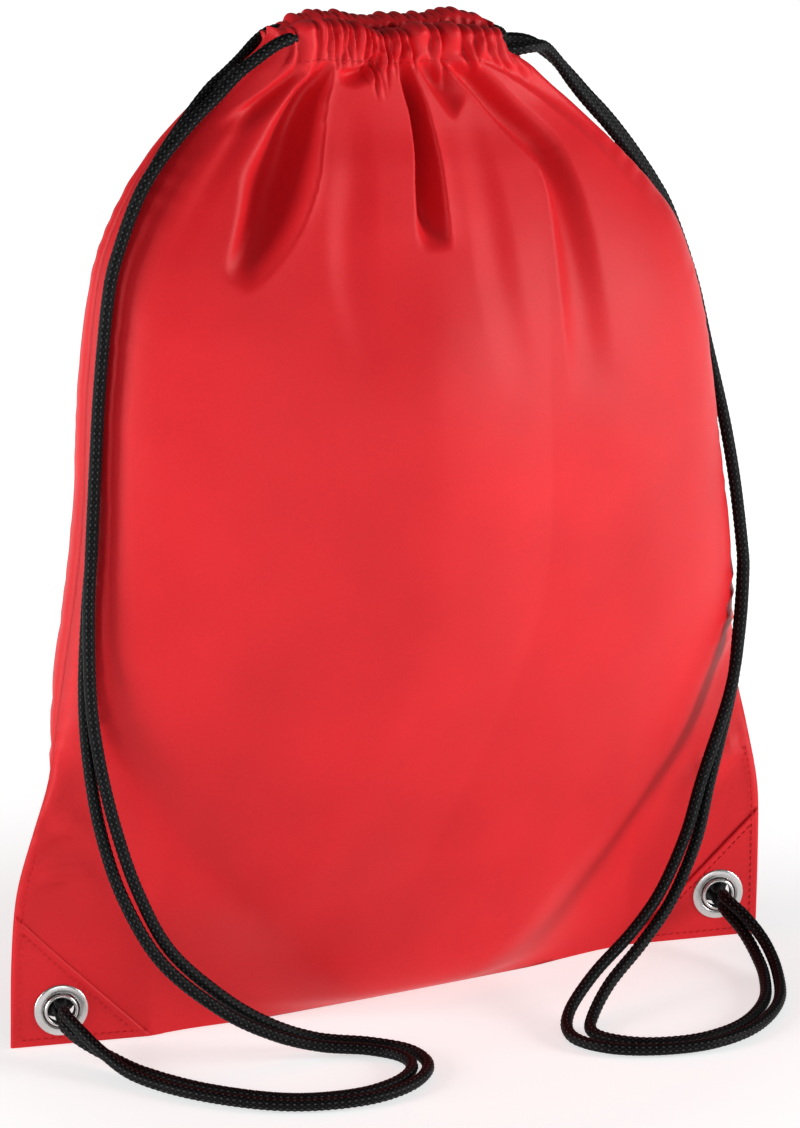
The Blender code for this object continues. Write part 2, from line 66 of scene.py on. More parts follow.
WIDTHS = ((0, 1.0), (0.10, 0.997), (0.17, 0.987), (0.24, 0.956), (0.30, 0.928), (0.36, 0.914),
          (0.45, 0.884), (0.53, 0.855), (0.60, 0.834), (0.66, 0.822), (0.73, 0.802),
          (0.82, 0.755), (0.87, 0.696), (0.92, 0.607), (0.965, 0.502), (1.0, 0.405),
          (1.02, 0.355), (1.04, 0.315), (1.055, 0.29))
LEANS = ((0, 0.0), (0.12, 0.001), (0.30, 0.004), (0.52, 0.006), (0.72, 0.003), (0.82, 0.0),
         (0.92, -0.003), (1.0, -0.004), (1.055, -0.005))
# Each cloth: its fullest depth, the share of it at each height, how blunt its cross-section is,
# and the height of its hem's top edge along X, in millimetres
FRONT = {
    "facing": -1, "full": 0.064,
    "depths": ((0, 0.01), (0.03, 0.34), (0.10, 0.52), (0.25, 0.74), (0.38, 0.87), (0.50, 0.95),
               (0.62, 1.0), (0.70, 0.98), (0.77, 0.92), (0.82, 0.83), (0.87, 0.71),
               (0.92, 0.56), (0.96, 0.41), (1.0, 0.30), (1.03, 0.262), (1.055, 0.252)),
    "powers": ((0, 1.6), (0.12, 1.5), (0.26, 0.95), (0.38, 0.60), (0.46, 0.5), (0.97, 0.5),
               (1.0, 0.36), (1.03, 0.2), (1.055, 0.18)),
    "top": ((-49, 421.0), (-43, 422.8), (-36, 423.3), (-30, 422.4), (-23, 420.8), (-17, 419.2),
            (-12, 417.0), (-6, 416.4), (0, 416.8), (6, 417.5), (14, 416.2), (23, 415.4),
            (31, 414.0), (38, 412.6), (48, 410.0)),
}
BACK = {
    "facing": 1, "full": 0.072,
    "depths": ((0, 0.44), (0.03, 0.58), (0.10, 0.68), (0.25, 0.82), (0.38, 0.91), (0.50, 0.96),
               (0.62, 1.0), (0.70, 0.98), (0.77, 0.92), (0.82, 0.83), (0.87, 0.71),
               (0.92, 0.56), (0.96, 0.41), (1.0, 0.28), (1.03, 0.24), (1.055, 0.228)),
    "powers": ((0, 1.6), (0.12, 1.3), (0.24, 0.75), (0.34, 0.50), (0.46, 0.44), (0.7, 0.46),
               (0.97, 0.5), (1.0, 0.36), (1.03, 0.2), (1.055, 0.18)),
    "top": ((-48, 417.5), (-45, 418.5), (-41, 420.5), (-38, 421.2), (-32, 422.0), (-24, 421.2),
            (-15, 419.8), (-6, 418.2), (3, 418.0), (12, 416.5), (21, 416.9), (27, 418.2),
            (34, 416.6), (39, 415.4), (45, 412.2), (50, 409.6)),
}
CORNERS = {
    "left": {"side": -1, "turn": math.radians(13), "eyelet": (0.0210, 0.0155)},
    "right": {"side": 1, "turn": math.radians(-12), "eyelet": (0.0175, 0.0200)},
}


def smooth(share):
    share = np.clip(share, 0.0, 1.0)
    return share * share * (3 - 2 * share)


def along(table, share):
    """A smooth reading between the rows of a table, for one value or an array."""
    rows = np.array(table, float)
    at, value = rows[:, 0], rows[:, 1]
    share = np.clip(share, at[0], at[-1])
    k = np.clip(np.searchsorted(at, share, side="right") - 1, 0, len(at) - 2)
    row = np.arange(len(at))
    low, high = np.maximum(row - 1, 0), np.minimum(row + 1, len(at) - 1)
    slope = (value[high] - value[low]) / (at[high] - at[low])
    step = at[k + 1] - at[k]
    u = (share - at[k]) / step
    return ((2 * u**3 - 3 * u**2 + 1) * value[k] + (u**3 - 2 * u**2 + u) * step * slope[k]
            + (3 * u**2 - 2 * u**3) * value[k + 1] + (u**3 - u**2) * step * slope[k + 1])


def half_width(height):
    return HALF_WIDTH * along(WIDTHS, height / PANEL_HEIGHT)


def lean(height):
    return along(LEANS, height / PANEL_HEIGHT)


def neck_drop(x, height):
    return NECK_TILT * x * smooth((height / PANEL_HEIGHT - 0.74) / 0.26)


def turned(x, y, height):
    """Carry a point of the flat-cornered bag to where the turned corner takes it."""
    fade = 1 - smooth((height - TURN_FADE[0]) / (TURN_FADE[1] - TURN_FADE[0]))
    turn = np.where(x < 0, CORNERS["left"]["turn"], CORNERS["right"]["turn"]) * fade
    past = np.maximum(np.abs(x) - CREASE, 0)
    return (np.where(past > 0, np.sign(x) * (CREASE + past * np.cos(turn)), x),
            y + past * np.sin(turn))


def bottom_share(across):
    corner_distance = HALF_WIDTH * (1 - np.abs(across))
    return smooth((corner_distance - FLAT_REACH * 0.82) / (SWELL_REACH * 0.6))


def depth(across, height, face):
    share = height / PANEL_HEIGHT
    corner_distance = HALF_WIDTH * (1 - np.abs(across)) + height
    swell = smooth((corner_distance - FLAT_REACH) / SWELL_REACH)
    section = np.maximum(1e-9, 1 - across * across) ** along(face["powers"], share)
    return face["full"] * along(face["depths"], share) * section * swell


# Large folds of the two cloths, from the neck down: rows of
# (x, z, how deep, reach to the left, reach to the right), all in millimetres. A fold with a
# crisp side breaks sharply there and stands up a little past the break.
FRONT_FOLDS = (
    # the deep valley left of the middle, steep on its right
    ("right", (-36, 408, 0, 5, 3), (-39, 400, 7, 8, 3.6), (-43.5, 393, 13, 11, 4.6),
     (-49.5, 381, 19, 15, 6), (-55.5, 369, 21, 19, 7), (-61.5, 359, 20, 21, 7.6),
     (-68, 350, 16.5, 18, 8), (-75, 342, 11, 14, 8), (-82, 335, 5, 10, 8),
     (-88, 329, 0, 7, 7)),
    # the round-ended valley in the middle
    ("right", (-4, 408, 0, 3, 3), (-3, 400, 5, 3.5, 3.5), (-1.5, 392, 12, 4, 4.5),
     (-0.5, 384, 17, 4, 5), (-1.2, 372, 20, 4.6, 6), (-3, 360, 19, 6, 6.8),
     (-4.0, 351, 15, 7, 7), (-4.6, 343, 8, 8, 7), (-5, 336, 0, 8, 7)),
    # the long valley that runs down the right, steep on its left
    ("left", (13, 407, 0, 2.5, 4), (19, 400, 5, 2.5, 7), (28.5, 390, 9.5, 3, 10),
     (39, 377, 12, 3.4, 12), (47.5, 368, 12.5, 3.8, 13), (53.5, 361, 12, 4.4, 13),
     (57, 350, 9.5, 6, 13), (58, 336, 6.5, 8, 14), (58.5, 313, 4, 10, 15), (60, 290, 2.2, 11, 15),
     (61, 270, 0, 11, 14)),
    # pouches under the hem
    ("left", (4, 407, 0, 3, 5), (6, 401, 4, 3, 7), (10, 394, 6.5, 3.5, 9), (15, 388, 4, 5, 9),
     (19, 384, 0, 6, 8)),
    ("left", (-14, 409, 2, 3, 4), (-19, 403.5, 4.5, 3, 5), (-26, 401.5, 4.5, 3, 5),
     (-33, 402.5, 0, 3, 4)),
    ("", (-47, 408, 0, 3, 3), (-52, 402, 3, 4, 5), (-62, 395, 4, 4, 6), (-73, 389, 2, 4, 6),
     (-82, 384, 0, 4, 5)),
    # soft folds that die out half way down
    ("", (-28, 392, 0, 8, 8), (-34, 364, 1.4, 11, 11), (-40, 343, 2.0, 12, 12),
     (-41, 324, 2.0, 13, 13), (-38, 301, 1.4, 13, 13), (-33, 276, 0, 12, 12)),
    ("", (20, 385, 0, 8, 8), (21.4, 366, 1.2, 10, 10), (21.2, 344, 1.5, 11, 11),
     (20.4, 321, 1.5, 12, 12), (22.8, 298, 1.0, 12, 12), (27.6, 272, 0, 11, 11)),
    # creases drawn from the side seams over the flat corners, standing out
    ("left", (-167, 90, 0, 3, 5), (-159, 95, -3.6, 3.5, 8), (-147, 97, -4.0, 4, 10),
     (-131, 96, 0, 5, 10)),
    ("left", (-168, 66, 0, 3, 4), (-159, 74, -4.0, 3.5, 9), (-146, 75, -4.4, 4, 11),
     (-130, 66, 0, 5, 10)),
    ("left", (165, 92, 0, 3, 5), (156, 86, -3.2, 4, 8), (143, 78, -3.6, 4, 10),
     (127, 70, 0, 5, 10)),
    # tension lines over the shoulders
    ("left", (34, 402, 1, 2, 4), (60, 386, 2.5, 3, 6), (90, 360, 2, 4, 7), (118, 328, 0, 5, 7)),
    ("", (-45, 405, 1, 3, 3), (-65, 392, 1.5, 4, 4), (-88, 368, 1.2, 5, 5), (-110, 335, 0, 5, 5)),
)
BACK_FOLDS = (
    ("left", (38, 404, 0, 3, 4), (46, 388, 7, 4, 10), (56, 368, 11, 4, 14), (68, 348, 9, 5, 16),
     (80, 332, 4, 8, 16), (88, 320, 0, 10, 14)),
    ("right", (6, 404, 0, 4, 3), (7, 388, 9, 6, 4), (9, 370, 13, 7, 4.5), (12, 350, 11, 8, 6),
     (14, 332, 5, 9, 8), (15, 322, 0, 9, 9)),
    ("right", (-22, 404, 0, 4, 3), (-30, 388, 6, 9, 3.5), (-40, 368, 9, 12, 4),
     (-50, 346, 8, 13, 5), (-56, 320, 5, 14, 7), (-58, 290, 2, 14, 8), (-58, 268, 0, 12, 9)),
    ("", (-10, 396, 1, 5, 5), (-12, 366, 3, 8, 8), (-14, 338, 3, 9, 9), (-14, 306, 2, 9, 9),
     (-12, 280, 0, 8, 8)),
    ("", (26, 396, 1, 5, 5), (32, 366, 3, 8, 8), (38, 338, 3, 9, 9), (40, 306, 2, 9, 9),
     (38, 284, 0, 8, 8)),
    ("", (-30, 400, 1, 3, 3), (-60, 385, 1.5, 4, 4), (-90, 360, 1.2, 5, 5), (-118, 328, 0, 5, 5)),
)


def fold_depth(folds, x, z):
    """How far the folds push the cloth in at each point, in metres."""
    pushed = np.zeros_like(x)
    for crisp, *rows in folds:
        rows = np.array(rows, float)
        at = np.linspace(0, len(rows) - 1, 3 * len(rows) - 2)
        rows = np.stack([along(np.stack([np.arange(len(rows)), rows[:, k]], axis=1), at)
                         for k in range(5)], axis=1)
        best = np.full(x.shape, 1e9)
        value = np.zeros_like(x)
        for a, b in zip(rows[:-1], rows[1:]):
            ab = b[:2] - a[:2]
            t = ((x / MM - a[0]) * ab[0] + (z / MM - a[1]) * ab[1]) / (ab @ ab)
            t = np.clip(t, 0, 1)
            dx, dz = x / MM - (a[0] + t * ab[0]), z / MM - (a[1] + t * ab[1])
            away = np.hypot(dx, dz)
            right_side = dx * -ab[1] + dz * ab[0] > 0
            deep, left, right = (a[i] + t * (b[i] - a[i]) for i in (2, 3, 4))
            share = away / np.where(right_side, right, left)
            soft = np.cos(np.clip(share, 0, 1) * math.pi / 2) ** 2
            sharp = (1 - np.clip(share, 0, 1) ** 2) ** 1.25 - 0.10 * np.where(
                share > 1, np.exp(-(share - 1) * 1.6), np.clip(share, 0, 1) ** 6)
            broken = right_side if crisp == "right" else ~right_side
            bowl = deep * np.where(broken & bool(crisp), sharp, soft)
            nearer = away < best
            value = np.where(nearer, bowl, value)
            best = np.minimum(best, away)
        pushed += value
    return pushed * MM


# How the neck is gathered: the tight valleys between its ruffles, as (x at the hem's top, x at
# its foot, how deep), in millimetres, and how the crests between them stand out
VALLEYS = {
    -1: ((-51, -60, 1.0), (-47.5, -54, 1.6), (-38.5, -42, 2.8), (-35.5, -38, 1.9),
         (-32.0, -34, 3.2), (-28.9, -30.5, 2.0), (-26.4, -27.5, 3.4), (-23.0, -24.5, 2.2),
         (-19.4, -20, 4.2), (-16.2, -17, 3.8), (-13.4, -13.5, 2.0), (-10.4, -11, 4.4),
         (-7.4, -7.5, 2.0), (-4.2, -3, 3.6), (0.8, 1.5, 4.2), (9.4, 10, 1.6), (13.6, 16, 3.4),
         (24.5, 31, 3.6), (29.2, 37, 1.6), (35.0, 43, 3.0), (40.5, 48, 1.8),
         (46, 54, 1.4), (51, 60, 1.0)),
    1: ((-52, -60, 1.0), (-47, -53, 1.6), (-42.5, -47, 1.8), (-37, -41, 1.6), (-33.5, -37, 2.2),
        (-29, -32, 2.4), (-26, -29, 1.6), (-21.5, -24, 2.6), (-18, -20, 1.8), (-13.6, -15, 2.8),
        (-10.2, -11, 1.6), (-5.4, -6, 2.6), (-1.5, -2, 2.0), (2.2, 2, 2.6), (5.2, 6, 1.8),
        (9.6, 10, 2.6), (12.8, 14, 1.8), (17.5, 19, 2.8), (20.6, 23, 1.6), (24, 27, 2.6),
        (29.5, 33, 2.2), (33.5, 37, 1.6), (38.5, 43, 2.4), (43, 48, 1.6), (47.5, 54, 1.4),
        (52, 60, 1.0)),
}


GATHER_FOOT = 0.3955      # where the gathers start, on the average of their uneven foot
GATHER_FADE = 0.014       # they reach their full depth this far above it
SPREAD_FROM, SPREAD_OVER = 0.388, 0.026    # heights over which the valleys draw together
INWARD_SHARE = 0.75       # the part of a valley's depth that lies inside the mean surface
CREST_RISE = 0.9          # how far the crests stand out, in millimetres
CREST_EXTRA = 0.5         # and how much more they do away from the hem's ends
CREST_WAVER = 0.40        # how unevenly they do
EVEN_FROM, EVEN_OVER = 36, 8               # x where the crests turn even again, in millimetres


def gather(x, height, facing):
    """The gathers' push outwards, with round crests and tight valleys of uneven width."""
    rows = np.array(VALLEYS[facing], float)
    foot = GATHER_FOOT + 0.0050 * np.sin(x * 190 + 1) + 0.0034 * np.sin(x * 430 + facing)
    strength = smooth((height - foot) / GATHER_FADE)
    low = 1 - smooth((height - SPREAD_FROM) / SPREAD_OVER)
    at = rows[:, 0][:, None] + (rows[:, 1] - rows[:, 0])[:, None] * low.reshape(-1)[None, :]
    here = (x / MM).reshape(-1)[None, :]
    at = at + 0.6 * np.sin(height.reshape(-1)[None, :] * 170 + 2.4 * np.arange(len(rows))[:, None])
    k = np.clip((here >= at).sum(axis=0) - 1, 0, len(rows) - 2)
    pick = np.arange(here.shape[1])
    left, right = at[k, pick], at[k + 1, pick]
    share = np.clip((here[0] - left) / np.maximum(right - left, 0.5), 0, 1)
    deep = rows[k, 2] * (1 - share) + rows[k + 1, 2] * share
    waver = np.sin(height.reshape(-1) * (390 + 70 * np.sin(1.7 * k)) + 2.1 * k)
    inner = 1 - smooth((np.abs(here[0]) - EVEN_FROM) / EVEN_OVER)
    crest = np.sin(math.pi * share) ** 0.75 * (1 + CREST_WAVER * waver * inner)
    rise = np.clip((right - left) / 5.0, 0.55, 1.3)
    push = -INWARD_SHARE * deep + crest * (
        INWARD_SHARE * deep + (CREST_RISE + CREST_EXTRA * inner) * rise)
    return push.reshape(x.shape) * strength * MM


# The ridge down the front: (height, x) of its line, in millimetres
RIDGE = ((60, -66), (77, -60), (152, -26), (194, -14), (280, -14), (330, -10))
RIDGE_REACH = 0.055       # to each side of its line
RIDGE_RISE = 0.0075


def ridge(x, height, facing):
    """A soft ridge down the front, where the fill presses the cloth out."""
    if facing > 0:
        return np.zeros_like(x)
    line = along(RIDGE, height / MM) * MM
    away = (x - line) / RIDGE_REACH
    tent = np.maximum(0, 1 - np.sqrt(away * away + 0.012))
    return (RIDGE_RISE * tent * smooth((height - 0.03) / 0.06)
            * (1 - smooth((height - 0.27) / 0.07)))


PUCKER_PITCH = 0.0125     # from one pucker to the next along the side seam
PUCKER_REACH = 0.16       # how far they run in from the seam, as a share of HALF_WIDTH


def crumple(across, height, facing):
    """Small puckers along the side seams, where the stitching draws the cloth up."""
    edge = 1 - np.abs(across)
    near = smooth(1 - edge / PUCKER_REACH) * smooth(edge / 0.012)
    away_from_corner = smooth((height - 0.05) / 0.05) * (1 - smooth((height - 0.36) / 0.03))
    row = height / PUCKER_PITCH + 0.8 * np.sin(height * 90 + facing) + np.sign(across)
    rise = 0.0004 + 0.0009 * smooth((height - 0.06) / 0.03) * (1 - smooth((height - 0.15) / 0.05))
    return rise * np.sin(math.tau * row + 5 * edge / PUCKER_REACH) * near * away_from_corner


NECK_FROM, NECK_OVER = 0.398, 0.016        # heights over which the hem takes its own top line
FOLD_ABOVE = 0.003        # the fold's crown lies this far above HEM_TOP


def bag_point(across, height, face, inward=0.0, rise=0.0):
    """Points of a cloth's outer face, or of its hem turned inwards, as an array of places."""
    facing = face["facing"]
    opened = bottom_share(across)
    out = SEAM_HALF + (SEAM_SPREAD - SEAM_HALF) * opened * (1 - smooth(height / 0.04))
    x = across * half_width(height) + lean(height)
    z = height + neck_drop(x, height)
    reach = depth(across, height, face)
    edge = smooth((1 - np.abs(across)) / 0.07)
    ruffle = gather(x, height, facing) * edge
    push = (ridge(x, height, facing) + crumple(across, height, facing)
            - fold_depth(FRONT_FOLDS if facing < 0 else BACK_FOLDS, x, z) * edge)
    y = np.maximum(0, (reach + push) * (1 - inward) + ruffle * (1 - 0.3 * inward)) + out
    neck = smooth((height - NECK_FROM) / NECK_OVER)
    top = along(face["top"], x / MM) * MM - (HEM_TOP + FOLD_ABOVE + NECK_TILT * x)
    z = z + rise + neck * (top + 0.5 * ruffle)
    x, y = turned(x, facing * y, height)
    return np.stack([x, y, z], axis=-1)


def wave_field(points, size, seed):
    """Slow random bumps over the cloth, from -1 to 1."""
    offset = Vector((seed * 7.3, seed * 3.1, seed * 5.7))
    return np.array([noise.noise(Vector(p) / size + offset) for p in points])


# ---------------------------------------------------------------- finishes
def node(tree, kind, place, **settings):
    made = tree.nodes.new(kind)
    made.location = place
    for name, value in settings.items():
        if hasattr(made, name):
            setattr(made, name, value)
        else:
            made.inputs[name.replace("_", " ")].default_value = value
    return made


def new_finish(name, **sockets):
    made = bpy.data.materials.new(name)
    made.use_nodes = True
    shader = made.node_tree.nodes["Principled BSDF"]
    for socket, value in sockets.items():
        shader.inputs[socket.replace("_", " ")].default_value = value
    return made, made.node_tree, shader


def polyester(name, colour, shade, roughness=0.46):
    """Plain-woven satin polyester: fine weave, faint slubs, slow changes of tone."""
    made, tree, shader = new_finish(name, Roughness=roughness, Specular_IOR_Level=0.22,
                                    Sheen_Weight=0.06, Sheen_Roughness=0.35,
                                    Sheen_Tint=(1.0, 0.42, 0.45, 1))
    place = node(tree, "ShaderNodeTexCoord", (-1300, 0))
    slow = node(tree, "ShaderNodeTexNoise", (-1050, 300), Scale=14.0, Detail=3.0)
    fine = node(tree, "ShaderNodeTexNoise", (-1050, 60), Scale=900.0, Detail=2.0)
    tone = node(tree, "ShaderNodeMath", (-850, 200), operation="MULTIPLY_ADD")
    tone.inputs[1].default_value = 0.35
    tree.links.new(fine.outputs["Fac"], tone.inputs[0])
    tree.links.new(slow.outputs["Fac"], tone.inputs[2])
    ramp = node(tree, "ShaderNodeValToRGB", (-650, 200))
    ramp.color_ramp.elements[0].position = 0.45
    ramp.color_ramp.elements[0].color = shade
    ramp.color_ramp.elements[1].position = 0.9
    ramp.color_ramp.elements[1].color = colour
    tree.links.new(tone.outputs[0], ramp.inputs["Fac"])
    tree.links.new(ramp.outputs["Color"], shader.inputs["Base Color"])
    warp = node(tree, "ShaderNodeTexWave", (-1050, -150), bands_direction="X", Scale=900.0,
                Distortion=0.4)
    weft = node(tree, "ShaderNodeTexWave", (-1050, -400), bands_direction="Z", Scale=900.0,
                Distortion=0.4)
    weave = node(tree, "ShaderNodeMath", (-850, -250), operation="ADD")
    grain = node(tree, "ShaderNodeMath", (-680, -250), operation="ADD")
    bump = node(tree, "ShaderNodeBump", (-450, -250), Strength=0.14, Distance=0.0003)
    for texture in (slow, fine, warp, weft):
        tree.links.new(place.outputs["Object"], texture.inputs["Vector"])
    tree.links.new(warp.outputs["Fac"], weave.inputs[0])
    tree.links.new(weft.outputs["Fac"], weave.inputs[1])
    tree.links.new(weave.outputs[0], grain.inputs[0])
    tree.links.new(fine.outputs["Fac"], grain.inputs[1])
    tree.links.new(grain.outputs[0], bump.inputs["Height"])
    tree.links.new(bump.outputs["Normal"], shader.inputs["Normal"])
    return made


def braid():
    """Braided black polyester cord with painted light: grey painted glints on its yarns' crests
    and near-black painted shade between them, by how high each yarn stands, kept as an attribute.
    """
    made, tree, shader = new_finish("braided_black_cord", Roughness=0.55,
                                    Specular_IOR_Level=0.10)
    high = node(tree, "ShaderNodeAttribute", (-900, 100), attribute_name="painted_yarn_glint")
    # Painted glints and shade: the ramp turns the yarns' crests grey and the gaps near black,
    # though the cord is black all over
    ramp = node(tree, "ShaderNodeValToRGB", (-650, 100))
    ramp.color_ramp.elements[0].position = 0.52
    ramp.color_ramp.elements[0].color = (0.0016, 0.0016, 0.0018, 1)
    ramp.color_ramp.elements[1].position = 0.98
    ramp.color_ramp.elements[1].color = (0.085, 0.087, 0.094, 1)
    place = node(tree, "ShaderNodeTexCoord", (-900, -200))
    fibre = node(tree, "ShaderNodeTexNoise", (-650, -200), Scale=2600.0, Detail=2.0)
    bump = node(tree, "ShaderNodeBump", (-400, -200), Strength=0.25, Distance=0.0002)
    tree.links.new(high.outputs["Fac"], ramp.inputs["Fac"])
    tree.links.new(ramp.outputs["Color"], shader.inputs["Base Color"])
    tree.links.new(place.outputs["Object"], fibre.inputs["Vector"])
    tree.links.new(fibre.outputs["Fac"], bump.inputs["Height"])
    tree.links.new(bump.outputs["Normal"], shader.inputs["Normal"])
    return made


def plated():
    """Nickel-plated steel, brushed by handling, with faint darker blooms."""
    made, tree, shader = new_finish("nickel_plate", Metallic=1.0)
    place = node(tree, "ShaderNodeTexCoord", (-900, 0))
    bloom = node(tree, "ShaderNodeTexNoise", (-700, 100), Scale=220.0, Detail=4.0)
    scuff = node(tree, "ShaderNodeTexNoise", (-700, -150), Scale=900.0, Detail=3.0)
    ramp = node(tree, "ShaderNodeValToRGB", (-450, 100))
    ramp.color_ramp.elements[0].color = (0.50, 0.50, 0.49, 1)
    ramp.color_ramp.elements[1].color = (0.74, 0.74, 0.73, 1)
    rough = node(tree, "ShaderNodeMapRange", (-450, -150))
    rough.inputs["To Min"].default_value = 0.20
    rough.inputs["To Max"].default_value = 0.38
    tree.links.new(place.outputs["Object"], bloom.inputs["Vector"])
    tree.links.new(place.outputs["Object"], scuff.inputs["Vector"])
    tree.links.new(bloom.outputs["Fac"], ramp.inputs["Fac"])
    tree.links.new(scuff.outputs["Fac"], rough.inputs["Value"])
    tree.links.new(ramp.outputs["Color"], shader.inputs["Base Color"])
    tree.links.new(rough.outputs["Result"], shader.inputs["Roughness"])
    return made


BAG_RED = polyester("red_satin_polyester", (0.72, 0.0125, 0.0195, 1), (0.58, 0.0085, 0.0135, 1))
SEAM_RED = polyester("red_seam_cloth", (0.58, 0.013, 0.018, 1), (0.50, 0.010, 0.014, 1), 0.5)
THREAD_RED = polyester("red_thread", (0.62, 0.011, 0.017, 1), (0.48, 0.008, 0.012, 1), 0.5)
CORD_BLACK = braid()
NICKEL = plated()


def new_piece(name, bm, finish):
    mesh = bpy.data.meshes.new(name)
    bm.to_mesh(mesh)
    bm.free()
    mesh.materials.append(finish)
    for face in mesh.polygons:
        face.use_smooth = True
    piece = bpy.data.objects.new(name, mesh)
    bpy.context.scene.collection.objects.link(piece)
    return piece


def grid_mesh(columns, rows):
    """A bmesh grid whose vertices keep the order (row, column)."""
    bm = bmesh.new()
    bmesh.ops.create_grid(bm, x_segments=columns - 1, y_segments=rows - 1, size=1.0)
    bm.verts.ensure_lookup_table()
    return bm


def corner_frame(corner):
    """A frame at an eyelet's middle: X out along the corner, Y up, Z to the front."""
    side, turn = corner["side"], corner["turn"]
    inset, height = corner["eyelet"]
    out = Vector((side * math.cos(turn), math.sin(turn), 0))
    front = Vector((side * math.sin(turn), -math.cos(turn), 0))
    place = Matrix((out, Vector((0, 0, 1)), front)).transposed().to_4x4()
    place.translation = (Vector((side * CREASE, 0, height))
                         + out * (HALF_WIDTH - inset - CREASE))
    return place


def open_eyelets(bm):
    """Open the cloth behind each eyelet's flanges, so its bore is clear."""
    for corner in CORNERS.values():
        back = corner_frame(corner).inverted()
        inside = []
        for face in bm.faces:
            at = back @ face.calc_center_median()
            if math.hypot(at.x, at.y) < EYELET_OPENING and abs(at.z) < 0.010:
                inside.append(face)
        bmesh.ops.delete(bm, geom=inside, context="FACES")


def grid_piece(name, places, finish, flip, thickness):
    """A cloth from an array of places (row, column, 3), given its thickness inwards."""
    rows, columns = places.shape[:2]
    bm = grid_mesh(columns, rows)
    flat = places.reshape(-1, 3)
    for vert, place in zip(bm.verts, flat):
        vert.co = place
    if flip:
        bmesh.ops.reverse_faces(bm, faces=bm.faces)
    open_eyelets(bm)
    piece = new_piece(name, bm, finish)
    wall = piece.modifiers.new("cloth", "SOLIDIFY")
    wall.thickness = thickness
    wall.offset = -1
    return piece


# ---------------------------------------------------------------- the two cloths
COLUMNS = 216
BODY_ROWS = ((0.0, 0.02, 9), (0.02, 0.30, 66), (0.30, 0.350, 32), (0.350, HEM_TOP, 78))
ROLL = 0.44               # half the share of the way to the middle that the hem's fold takes
FOLD_RISE = 0.0032        # how far the fold arches above HEM_TOP
BOTTOM_LIFT = 0.0006      # of the cloths' lower edge where they lie flat together
BUMPS = ((0.060, 0.0016, 0), (0.024, 0.0004, 3))    # of the filled cloth: size, height, seed step


def cloth_rows():
    """(height, inward, rise) of each row, from under the bag up, over the hem and down inside."""
    body = np.concatenate([np.linspace(*part)[1:] for part in BODY_ROWS])
    rows = [(h, 0.0, 0.0) for h in body]
    for turn in np.linspace(0, math.pi, 13)[1:]:
        rows.append((HEM_TOP, ROLL * (1 - math.cos(turn)), FOLD_RISE * math.sin(turn)))
    rows += [(h, 2 * ROLL, 0.0) for h in np.linspace(HEM_TOP, HEM_STITCH - 0.002, 14)[1:]]
    return rows


def make_cloth(name, face, seed):
    """One side of the bag: from the seam under it, up its filled wall and over the cord hem."""
    even = np.linspace(-1, 1, COLUMNS)
    across = even * (0.76 + 0.24 * even * even)
    across[0], across[-1] = -1, 1
    places = []
    opened = bottom_share(across)
    for under in (0.0, 0.5, 1.0):
        low = (1 - opened) * under * BOTTOM_LIFT
        place = bag_point(across, low, face)
        flat = np.maximum(0, depth(across, np.zeros_like(across), face)) * (under - 1)
        place[:, 1] += face["facing"] * flat
        place[:, 2] = np.where(opened > 0, 0.0002 * (1 - under) + low, low)
        places.append(place)
    for height, inward, rise in cloth_rows():
        places.append(bag_point(across, np.full_like(across, height), face, inward, rise))
    places = np.array(places)
    flat = places.reshape(-1, 3)
    out = np.array([0, face["facing"], 0.0])
    free = smooth((places[:, :, 2] - 0.02) / 0.05) * smooth((1 - np.abs(across)) / 0.10)
    bumps = sum(wave_field(flat, size, seed + step) * high for size, high, step in BUMPS)
    flat += out * (bumps * free.reshape(-1))[:, None]
    return grid_piece(name, places, BAG_RED, face["facing"] > 0, CLOTH)


front_cloth = make_cloth("front_cloth", FRONT, 1)
back_cloth = make_cloth("back_cloth", BACK, 2)
# Between these two places the cloth passes from the bag to the front hem, when the mouth opens
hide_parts("front_panel", "front_drawcord_channel")
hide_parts("back_panel", "back_drawcord_channel")
for cloth in (front_cloth, back_cloth):
    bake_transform(cloth)


# ---------------------------------------------------------------- cords
CORD = 0.0052
